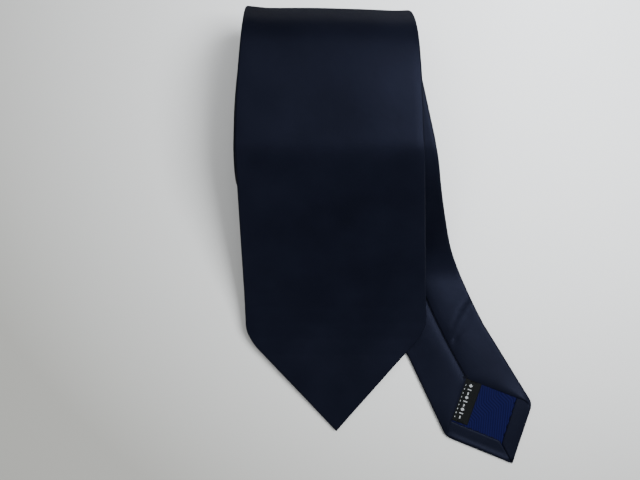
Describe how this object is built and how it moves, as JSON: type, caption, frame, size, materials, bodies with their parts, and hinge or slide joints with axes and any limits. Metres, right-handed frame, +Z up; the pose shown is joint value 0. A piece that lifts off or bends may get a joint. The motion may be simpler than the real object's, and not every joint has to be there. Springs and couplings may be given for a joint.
{
  "type": "necktie",
  "caption": "Dark navy satin necktie, folded in half and rolled, with its wide blade laid over the roll and its narrow tail beside it, back side up.",
  "frame": {"origin": "centre of the object's bounding box, on the surface it lies on", "axes": "+Y from the blade's point towards the roll, +X to the side the tail lies on, +Z up"},
  "size_m": [0.1306, 0.1944, 0.04],
  "materials": {
    "shell": "navy satin weave with a soft sheen",
    "interlining": "brushed wool-blend interlining",
    "tipping": "royal blue woven lining",
    "label": "black woven label tape",
    "thread": "matt navy sewing thread"
  },
  "bodies": {
    "roll": {"blade_shell_rolled": "shell", "neck_shell": "shell", "tail_shell_rolled": "shell", "blade_piecing_seam": "thread", "tail_piecing_seam": "thread", "blade_interlining_rolled": "interlining", "tail_interlining_rolled": "interlining", "blade_slip_stitch_rolled": "thread", "tail_slip_stitch_rolled": "thread"},
    "blade_end": {"blade_shell_end": "shell", "blade_interlining_end": "interlining", "blade_tipping": "tipping", "blade_tipping_seam": "thread", "blade_slip_stitch_end": "thread", "blade_bar_tack": "thread", "keeper_loop": "shell", "keeper_tack_left": "thread", "keeper_tack_right": "thread"},
    "tail_end": {"tail_shell_end": "shell", "tail_interlining_end": "interlining", "tail_tipping": "tipping", "tail_tipping_seam": "thread", "tail_slip_stitch_end": "thread", "tail_bar_tack": "thread", "tail_label": "label", "label_tack_upper": "thread", "label_tack_lower": "thread"}
  },
  "joints": [
    {"name": "blade_lift", "type": "hinge", "parent": "roll", "child": "blade_end", "pos_m": [-0.02689, 0.04153, 0.04], "axis": [-1, 0, 0], "range_deg": [0, 60]},
    {"name": "tail_lift", "type": "hinge", "parent": "roll", "child": "tail_end", "pos_m": [0.02651, -0.04323, 0.0018], "axis": [-0.9064, -0.4225, 0], "range_deg": [0, 60]}
  ]
}
